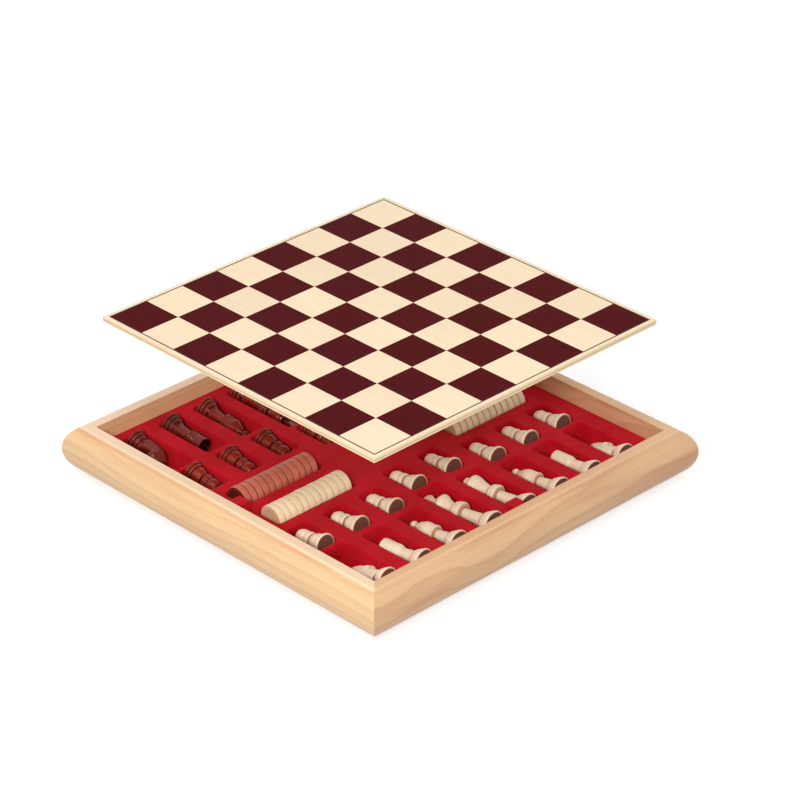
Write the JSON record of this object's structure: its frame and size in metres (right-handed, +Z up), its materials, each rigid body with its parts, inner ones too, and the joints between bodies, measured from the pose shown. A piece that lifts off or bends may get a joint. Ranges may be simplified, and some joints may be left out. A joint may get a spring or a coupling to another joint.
{
  "type": "games compendium box",
  "caption": "Square pine games case with a formed tray for lying chessmen and rows of discs, and a loose chequered board as its lid.",
  "frame": {"origin": "on the table, under the middle of the case", "axes": "+Z up; X and Y along the rails, with the light men at -Y and the dark men at +Y"},
  "size_m": [0.3878, 0.3878, 0.151],
  "materials": {
    "pine": "satin",
    "pine_block": "matte",
    "plywood": "matte",
    "flock": "matte",
    "light_men": "satin",
    "dark_men": "gloss",
    "light_discs": "matte",
    "dark_discs": "matte",
    "board_edge": "matte",
    "stringing": "satin",
    "pale_veneer": "satin",
    "dark_veneer": "satin",
    "light_veneer": "satin"
  },
  "bodies": {
    "case": {"rail_front": "pine", "rest_front": "pine_block", "rail_right": "pine", "rest_right": "pine_block", "rail_back": "pine", "rest_back": "pine_block", "rail_left": "pine", "rest_left": "pine_block", "panel": "plywood", "tray": "flock"},
    "board": {"board_core": "board_edge", "board_line": "stringing", "board_border": "pale_veneer", "board_dark_squares": "dark_veneer", "board_light_squares": "light_veneer"},
    "light_knight_left": {"light_knight_left": "light_men"},
    "light_pawn_1": {"light_pawn_1": "light_men"},
    "light_rook_left": {"light_rook_left": "light_men"},
    "light_pawn_2": {"light_pawn_2": "light_men"},
    "light_bishop_left": {"light_bishop_left": "light_men"},
    "light_pawn_3": {"light_pawn_3": "light_men"},
    "light_king": {"light_king": "light_men"},
    "light_pawn_4": {"light_pawn_4": "light_men"},
    "light_queen": {"light_queen": "light_men"},
    "light_pawn_5": {"light_pawn_5": "light_men"},
    "light_bishop_right": {"light_bishop_right": "light_men"},
    "light_pawn_6": {"light_pawn_6": "light_men"},
    "light_rook_right": {"light_rook_right": "light_men"},
    "light_pawn_7": {"light_pawn_7": "light_men"},
    "light_knight_right": {"light_knight_right": "light_men"},
    "light_pawn_8": {"light_pawn_8": "light_men"},
    "light_discs_left": {"light_discs_left": "light_discs"},
    "light_discs_right": {"light_discs_right": "light_discs"},
    "dark_knight_left": {"dark_knight_left": "dark_men"},
    "dark_pawn_1": {"dark_pawn_1": "dark_men"},
    "dark_rook_left": {"dark_rook_left": "dark_men"},
    "dark_pawn_2": {"dark_pawn_2": "dark_men"},
    "dark_bishop_left": {"dark_bishop_left": "dark_men"},
    "dark_pawn_3": {"dark_pawn_3": "dark_men"},
    "dark_king": {"dark_king": "dark_men"},
    "dark_pawn_4": {"dark_pawn_4": "dark_men"},
    "dark_queen": {"dark_queen": "dark_men"},
    "dark_pawn_5": {"dark_pawn_5": "dark_men"},
    "dark_bishop_right": {"dark_bishop_right": "dark_men"},
    "dark_pawn_6": {"dark_pawn_6": "dark_men"},
    "dark_rook_right": {"dark_rook_right": "dark_men"},
    "dark_pawn_7": {"dark_pawn_7": "dark_men"},
    "dark_knight_right": {"dark_knight_right": "dark_men"},
    "dark_pawn_8": {"dark_pawn_8": "dark_men"},
    "dark_discs_left": {"dark_discs_left": "dark_discs"},
    "dark_discs_right": {"dark_discs_right": "dark_discs"}
  },
  "joints": [
    {"name": "board_lift", "type": "slide", "parent": "case", "child": "board", "axis": [0, 0, 1], "range_m": [-0.107, 0.06]},
    {"name": "light_knight_left_lift", "type": "slide", "parent": "case", "child": "light_knight_left", "axis": [0, 0, 1], "range_m": [0, 0.075]},
    {"name": "light_pawn_1_lift", "type": "slide", "parent": "case", "child": "light_pawn_1", "axis": [0, 0, 1], "range_m": [0, 0.075]},
    {"name": "light_rook_left_lift", "type": "slide", "parent": "case", "child": "light_rook_left", "axis": [0, 0, 1], "range_m": [0, 0.075]},
    {"name": "light_pawn_2_lift", "type": "slide", "parent": "case", "child": "light_pawn_2", "axis": [0, 0, 1], "range_m": [0, 0.075]},
    {"name": "light_bishop_left_lift", "type": "slide", "parent": "case", "child": "light_bishop_left", "axis": [0, 0, 1], "range_m": [0, 0.075]},
    {"name": "light_pawn_3_lift", "type": "slide", "parent": "case", "child": "light_pawn_3", "axis": [0, 0, 1], "range_m": [0, 0.075]},
    {"name": "light_king_lift", "type": "slide", "parent": "case", "child": "light_king", "axis": [0, 0, 1], "range_m": [0, 0.075]},
    {"name": "light_pawn_4_lift", "type": "slide", "parent": "case", "child": "light_pawn_4", "axis": [0, 0, 1], "range_m": [0, 0.075]},
    {"name": "light_queen_lift", "type": "slide", "parent": "case", "child": "light_queen", "axis": [0, 0, 1], "range_m": [0, 0.075]},
    {"name": "light_pawn_5_lift", "type": "slide", "parent": "case", "child": "light_pawn_5", "axis": [0, 0, 1], "range_m": [0, 0.075]},
    {"name": "light_bishop_right_lift", "type": "slide", "parent": "case", "child": "light_bishop_right", "axis": [0, 0, 1], "range_m": [0, 0.075]},
    {"name": "light_pawn_6_lift", "type": "slide", "parent": "case", "child": "light_pawn_6", "axis": [0, 0, 1], "range_m": [0, 0.075]},
    {"name": "light_rook_right_lift", "type": "slide", "parent": "case", "child": "light_rook_right", "axis": [0, 0, 1], "range_m": [0, 0.075]},
    {"name": "light_pawn_7_lift", "type": "slide", "parent": "case", "child": "light_pawn_7", "axis": [0, 0, 1], "range_m": [0, 0.075]},
    {"name": "light_knight_right_lift", "type": "slide", "parent": "case", "child": "light_knight_right", "axis": [0, 0, 1], "range_m": [0, 0.075]},
    {"name": "light_pawn_8_lift", "type": "slide", "parent": "case", "child": "light_pawn_8", "axis": [0, 0, 1], "range_m": [0, 0.075]},
    {"name": "light_discs_left_lift", "type": "slide", "parent": "case", "child": "light_discs_left", "axis": [0, 0, 1], "range_m": [0, 0.075]},
    {"name": "light_discs_right_lift", "type": "slide", "parent": "case", "child": "light_discs_right", "axis": [0, 0, 1], "range_m": [0, 0.075]},
    {"name": "dark_knight_left_lift", "type": "slide", "parent": "case", "child": "dark_knight_left", "axis": [0, 0, 1], "range_m": [0, 0.075]},
    {"name": "dark_pawn_1_lift", "type": "slide", "parent": "case", "child": "dark_pawn_1", "axis": [0, 0, 1], "range_m": [0, 0.075]},
    {"name": "dark_rook_left_lift", "type": "slide", "parent": "case", "child": "dark_rook_left", "axis": [0, 0, 1], "range_m": [0, 0.075]},
    {"name": "dark_pawn_2_lift", "type": "slide", "parent": "case", "child": "dark_pawn_2", "axis": [0, 0, 1], "range_m": [0, 0.075]},
    {"name": "dark_bishop_left_lift", "type": "slide", "parent": "case", "child": "dark_bishop_left", "axis": [0, 0, 1], "range_m": [0, 0.075]},
    {"name": "dark_pawn_3_lift", "type": "slide", "parent": "case", "child": "dark_pawn_3", "axis": [0, 0, 1], "range_m": [0, 0.075]},
    {"name": "dark_king_lift", "type": "slide", "parent": "case", "child": "dark_king", "axis": [0, 0, 1], "range_m": [0, 0.075]},
    {"name": "dark_pawn_4_lift", "type": "slide", "parent": "case", "child": "dark_pawn_4", "axis": [0, 0, 1], "range_m": [0, 0.075]},
    {"name": "dark_queen_lift", "type": "slide", "parent": "case", "child": "dark_queen", "axis": [0, 0, 1], "range_m": [0, 0.075]},
    {"name": "dark_pawn_5_lift", "type": "slide", "parent": "case", "child": "dark_pawn_5", "axis": [0, 0, 1], "range_m": [0, 0.075]},
    {"name": "dark_bishop_right_lift", "type": "slide", "parent": "case", "child": "dark_bishop_right", "axis": [0, 0, 1], "range_m": [0, 0.075]},
    {"name": "dark_pawn_6_lift", "type": "slide", "parent": "case", "child": "dark_pawn_6", "axis": [0, 0, 1], "range_m": [0, 0.075]},
    {"name": "dark_rook_right_lift", "type": "slide", "parent": "case", "child": "dark_rook_right", "axis": [0, 0, 1], "range_m": [0, 0.075]},
    {"name": "dark_pawn_7_lift", "type": "slide", "parent": "case", "child": "dark_pawn_7", "axis": [0, 0, 1], "range_m": [0, 0.075]},
    {"name": "dark_knight_right_lift", "type": "slide", "parent": "case", "child": "dark_knight_right", "axis": [0, 0, 1], "range_m": [0, 0.075]},
    {"name": "dark_pawn_8_lift", "type": "slide", "parent": "case", "child": "dark_pawn_8", "axis": [0, 0, 1], "range_m": [0, 0.075]},
    {"name": "dark_discs_left_lift", "type": "slide", "parent": "case", "child": "dark_discs_left", "axis": [0, 0, 1], "range_m": [0, 0.075]},
    {"name": "dark_discs_right_lift", "type": "slide", "parent": "case", "child": "dark_discs_right", "axis": [0, 0, 1], "range_m": [0, 0.075]}
  ]
}
